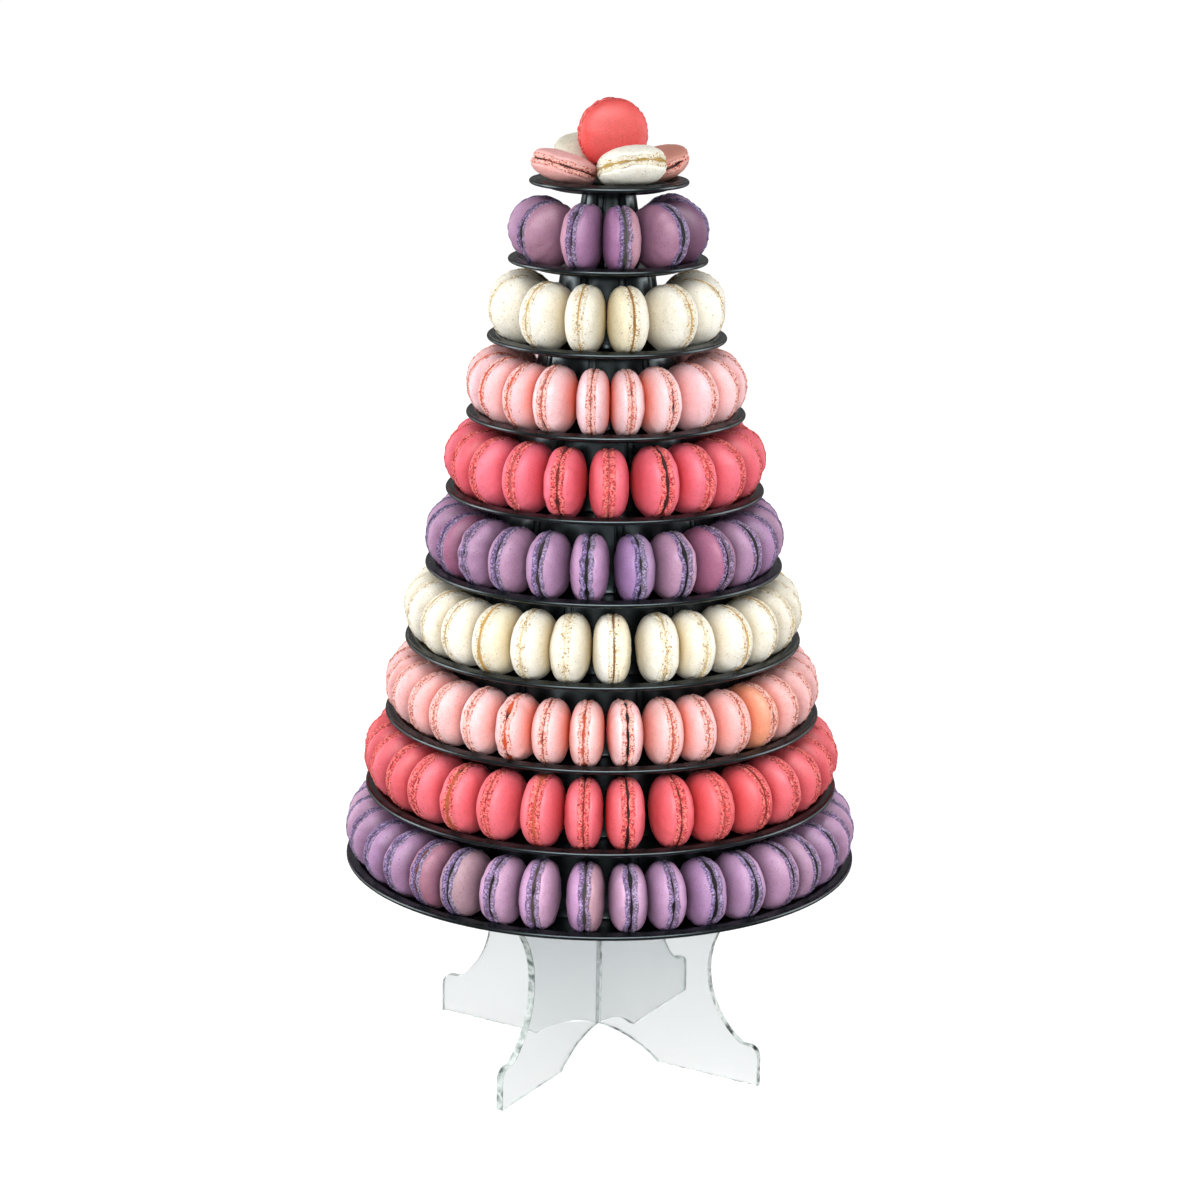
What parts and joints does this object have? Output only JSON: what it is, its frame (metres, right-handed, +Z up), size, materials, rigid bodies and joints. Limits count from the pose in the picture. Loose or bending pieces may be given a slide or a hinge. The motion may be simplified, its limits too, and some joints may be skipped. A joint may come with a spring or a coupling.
{
  "type": "macaron tower",
  "caption": "Cone-shaped party tower: macarons in lilac, coral, pink and cream stand on edge round stepped black trays, on a base of two crossed clear panels",
  "frame": {"origin": "middle of the footprint, on the surface that the clear panels' feet stand on", "axes": "+Z up along the tower's axis; X and Y along the two crossed panels"},
  "size_m": [0.346, 0.3463, 0.6549],
  "materials": {
    "clear_acrylic": "clear cast acrylic sheet, polished faces and edges",
    "black_tray": "thin black thermoformed plastic, glossy",
    "lilac_macaron": "baked almond meringue shells, smooth and dry with a faint sheen, frilled feet",
    "coral_macaron": "baked almond meringue shells, smooth and dry with a faint sheen, frilled feet",
    "pink_macaron": "baked almond meringue shells, smooth and dry with a faint sheen, frilled feet",
    "cream_macaron": "baked almond meringue shells, smooth and dry with a faint sheen, frilled feet"
  },
  "bodies": {
    "root": {"panel_x": "clear_acrylic", "panel_y": "clear_acrylic", "tray_1": "black_tray", "tray_2": "black_tray", "tray_3": "black_tray", "tray_4": "black_tray", "tray_5": "black_tray", "tray_6": "black_tray", "tray_7": "black_tray", "tray_8": "black_tray", "tray_9": "black_tray", "tray_10": "black_tray", "macaron_ring_1": "lilac_macaron", "macaron_ring_2": "coral_macaron", "macaron_ring_3": "pink_macaron", "macaron_ring_4": "cream_macaron", "macaron_ring_5": "lilac_macaron", "macaron_ring_6": "coral_macaron", "macaron_ring_7": "pink_macaron", "macaron_8_01": "cream_macaron", "macaron_8_02": "cream_macaron", "macaron_8_03": "cream_macaron", "macaron_8_04": "cream_macaron", "macaron_8_05": "cream_macaron", "macaron_8_06": "cream_macaron", "macaron_8_07": "cream_macaron", "macaron_8_08": "cream_macaron", "macaron_8_09": "cream_macaron", "macaron_8_10": "cream_macaron", "macaron_9_01": "lilac_macaron", "macaron_9_02": "lilac_macaron", "macaron_9_03": "lilac_macaron", "macaron_9_04": "lilac_macaron", "macaron_9_05": "lilac_macaron", "macaron_9_06": "lilac_macaron", "macaron_9_07": "lilac_macaron", "macaron_9_08": "lilac_macaron", "top_pink_left": "pink_macaron", "top_cream_front": "cream_macaron", "top_pink_right": "pink_macaron", "top_cream_back": "cream_macaron", "top_coral": "coral_macaron"}
  },
  "joints": []
}
